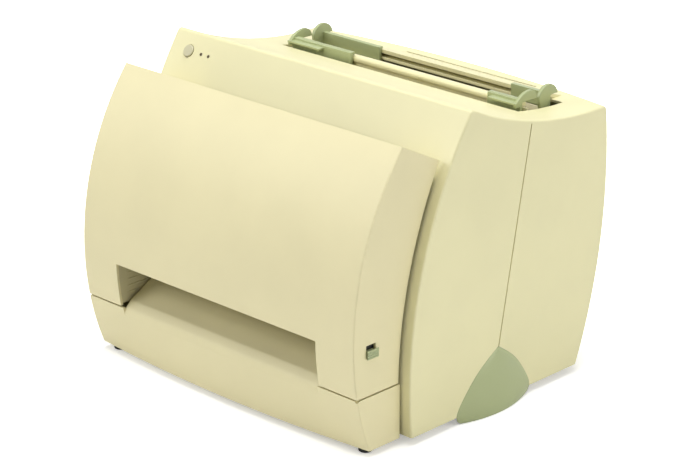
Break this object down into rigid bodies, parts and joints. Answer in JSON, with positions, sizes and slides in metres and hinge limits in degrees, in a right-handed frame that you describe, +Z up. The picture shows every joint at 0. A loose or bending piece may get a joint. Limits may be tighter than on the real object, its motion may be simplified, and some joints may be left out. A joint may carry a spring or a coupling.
{
  "type": "laser printer",
  "caption": "Small personal laser printer with a curved drop-down front door, a paper output slot, a top paper input with sliding guides and broad side feet.",
  "frame": {"origin": "on the floor under the middle of the printer's box", "axes": "+X to the printer's right as seen from the front, +Y to the back, +Z up"},
  "size_m": [0.3662, 0.318, 0.2733],
  "materials": {
    "case_shell": "fine satin texture",
    "door_shell": "fine satin texture",
    "door_liner": "smooth moulded",
    "input_chute": "smooth moulded",
    "base_pan": "smooth moulded",
    "green_plastic": "semi-gloss",
    "black_rubber": "matte",
    "button": "smooth",
    "lamp_lens": "clear moulded",
    "circuit_board": "solder mask",
    "sheet_steel": "galvanised",
    "plated_steel": "zinc plated",
    "motor_can": "dark satin",
    "black_plastic": "moulded",
    "pad_rubber": "cork-like",
    "roller_rubber": "fine ground",
    "white_acetal": "moulded acetal",
    "drum_green": "coated",
    "polished_aluminium": "polished"
  },
  "bodies": {
    "case": {"front_cover": "case_shell", "rear_cover": "case_shell", "front_base": "door_shell", "hinge_pins": "plated_steel", "base_pan": "base_pan", "foot_left": "green_plastic", "foot_right": "green_plastic", "rubber_feet": "black_rubber", "case_screws": "plated_steel", "input_chute": "input_chute", "slot_divider": "case_shell", "feed_guide": "black_plastic", "separation_pad": "pad_rubber", "chassis_left": "sheet_steel", "chassis_right": "sheet_steel", "scanner_plate": "sheet_steel", "scanner_housing": "black_plastic", "scanner_cover": "sheet_steel", "fuser_frame": "black_plastic", "cartridge_housing": "black_plastic", "drive_motor": "motor_can", "engine_board": "circuit_board", "power_supply": "sheet_steel", "formatter_board": "circuit_board", "control_board": "circuit_board", "led_lenses": "lamp_lens", "power_inlet": "black_plastic", "parallel_port": "black_plastic"},
    "door": {"door_shell": "door_shell", "door_liner": "door_liner"},
    "pinch": {"pinch_rollers": "white_acetal"},
    "deflector": {"paper_deflector": "black_plastic"},
    "lever": {"paper_path_lever": "green_plastic"},
    "button": {"control_button": "button"},
    "front_guide_l": {"front_guide_left": "green_plastic"},
    "front_guide_r": {"front_guide_right": "green_plastic"},
    "rear_guide_l": {"rear_guide_left": "green_plastic"},
    "rear_guide_r": {"rear_guide_right": "green_plastic"},
    "mirror": {"polygon_mirror": "polished_aluminium"},
    "drum": {"drum": "drum_green", "drum_gear": "white_acetal"},
    "feed": {"feed_shaft": "plated_steel", "feed_roller": "roller_rubber", "feed_gear": "white_acetal"},
    "pickup": {"pickup_shaft": "plated_steel", "pickup_roller": "roller_rubber", "pickup_gear": "white_acetal"},
    "transfer": {"transfer_roller": "roller_rubber"},
    "fuser": {"fuser_roller": "motor_can"},
    "pressure": {"pressure_roller": "roller_rubber", "pressure_gear": "white_acetal"},
    "front_exit": {"exit_roller": "roller_rubber", "exit_gear": "white_acetal"},
    "top_exit": {"top_exit_roller": "roller_rubber", "top_exit_gear": "white_acetal"},
    "pickup_idler": {"pickup_idler": "white_acetal"},
    "fuser_idler": {"fuser_idler": "white_acetal"},
    "exit_idler": {"exit_idler": "white_acetal"},
    "pinion": {"motor_pinion": "white_acetal"}
  },
  "joints": [
    {"name": "door_hinge", "type": "hinge", "parent": "case", "child": "door", "pos_m": [0, -0.1446, 0.036], "axis": [1, 0, 0], "range_deg": [0, 80]},
    {"name": "path_lever_slide", "type": "slide", "parent": "door", "child": "lever", "axis": [0, 0, 1], "range_m": [0, 0.0045]},
    {"name": "deflector_tilt", "type": "hinge", "parent": "door", "child": "deflector", "pos_m": [0, -0.113, 0.097], "axis": [1, 0, 0], "range_deg": [0, 40]},
    {"name": "pinch_spin", "type": "hinge", "parent": "door", "child": "pinch", "pos_m": [0, -0.0858, 0.182], "axis": [1, 0, 0], "continuous": true},
    {"name": "button_press", "type": "slide", "parent": "case", "child": "button", "axis": [0, 0.8459, -0.5334], "range_m": [0, 0.0015], "stiffness_N_per_m": 400, "springref_m": -0.0005},
    {"name": "rear_guide_right_slide", "type": "slide", "parent": "case", "child": "rear_guide_r", "axis": [-1, 0, 0], "range_m": [0, 0.066]},
    {"name": "rear_guide_left_slide", "type": "slide", "parent": "case", "child": "rear_guide_l", "axis": [1, 0, 0], "range_m": [0, 0.066]},
    {"name": "front_guide_right_slide", "type": "slide", "parent": "case", "child": "front_guide_r", "axis": [-1, 0, 0], "range_m": [0, 0.066]},
    {"name": "front_guide_left_slide", "type": "slide", "parent": "case", "child": "front_guide_l", "axis": [1, 0, 0], "range_m": [0, 0.066]},
    {"name": "mirror_spin", "type": "hinge", "parent": "case", "child": "mirror", "pos_m": [-0.02, 0.018, 0.2], "axis": [0, 0, 1], "continuous": true},
    {"name": "drum_spin", "type": "hinge", "parent": "case", "child": "drum", "pos_m": [0, -0.0024, 0.105], "axis": [1, 0, 0], "continuous": true},
    {"name": "feed_spin", "type": "hinge", "parent": "case", "child": "feed", "pos_m": [0, 0.0234, 0.08693], "axis": [1, 0, 0], "continuous": true},
    {"name": "pickup_spin", "type": "hinge", "parent": "case", "child": "pickup", "pos_m": [0, 0.0626, 0.105], "axis": [1, 0, 0], "continuous": true},
    {"name": "transfer_spin", "type": "hinge", "parent": "case", "child": "transfer", "pos_m": [0, -0.0024, 0.0847], "axis": [1, 0, 0], "continuous": true},
    {"name": "fuser_spin", "type": "hinge", "parent": "case", "child": "fuser", "pos_m": [0, -0.0674, 0.091], "axis": [1, 0, 0], "continuous": true},
    {"name": "pressure_spin", "type": "hinge", "parent": "case", "child": "pressure", "pos_m": [0, -0.0674, 0.0727], "axis": [1, 0, 0], "continuous": true},
    {"name": "front_exit_spin", "type": "hinge", "parent": "case", "child": "front_exit", "pos_m": [0, -0.08617, 0.078], "axis": [1, 0, 0], "continuous": true},
    {"name": "top_exit_spin", "type": "hinge", "parent": "case", "child": "top_exit", "pos_m": [0, -0.0675, 0.182], "axis": [1, 0, 0], "continuous": true},
    {"name": "pickup_idler_spin", "type": "hinge", "parent": "case", "child": "pickup_idler", "pos_m": [0, 0.04541, 0.08227], "axis": [1, 0, 0], "continuous": true},
    {"name": "fuser_idler_spin", "type": "hinge", "parent": "case", "child": "fuser_idler", "pos_m": [0, -0.04886, 0.10701], "axis": [1, 0, 0], "continuous": true},
    {"name": "exit_idler_spin", "type": "hinge", "parent": "case", "child": "exit_idler", "pos_m": [0, -0.05183, 0.15642], "axis": [1, 0, 0], "continuous": true},
    {"name": "motor_spin", "type": "hinge", "parent": "case", "child": "pinion", "pos_m": [0, 0.0111, 0.12838], "axis": [1, 0, 0], "continuous": true}
  ],
  "couplings": [
    {"joint": "deflector_tilt", "follows": "path_lever_slide", "rad_per_m": 155.14},
    {"joint": "rear_guide_left_slide", "follows": "rear_guide_right_slide", "ratio": 1},
    {"joint": "front_guide_left_slide", "follows": "front_guide_right_slide", "ratio": 1},
    {"joint": "feed_spin", "follows": "drum_spin", "ratio": -1.625},
    {"joint": "motor_spin", "follows": "drum_spin", "ratio": -2.6},
    {"joint": "pickup_idler_spin", "follows": "drum_spin", "ratio": 1.8571},
    {"joint": "pickup_spin", "follows": "drum_spin", "ratio": -1.0833},
    {"joint": "fuser_idler_spin", "follows": "drum_spin", "ratio": -0.72222},
    {"joint": "pressure_spin", "follows": "drum_spin", "ratio": 1.625},
    {"joint": "front_exit_spin", "follows": "drum_spin", "ratio": -2.6},
    {"joint": "exit_idler_spin", "follows": "drum_spin", "ratio": 0.86667},
    {"joint": "top_exit_spin", "follows": "drum_spin", "ratio": -2.6},
    {"joint": "transfer_spin", "follows": "drum_spin", "ratio": -1.5},
    {"joint": "fuser_spin", "follows": "drum_spin", "ratio": -1.625}
  ]
}
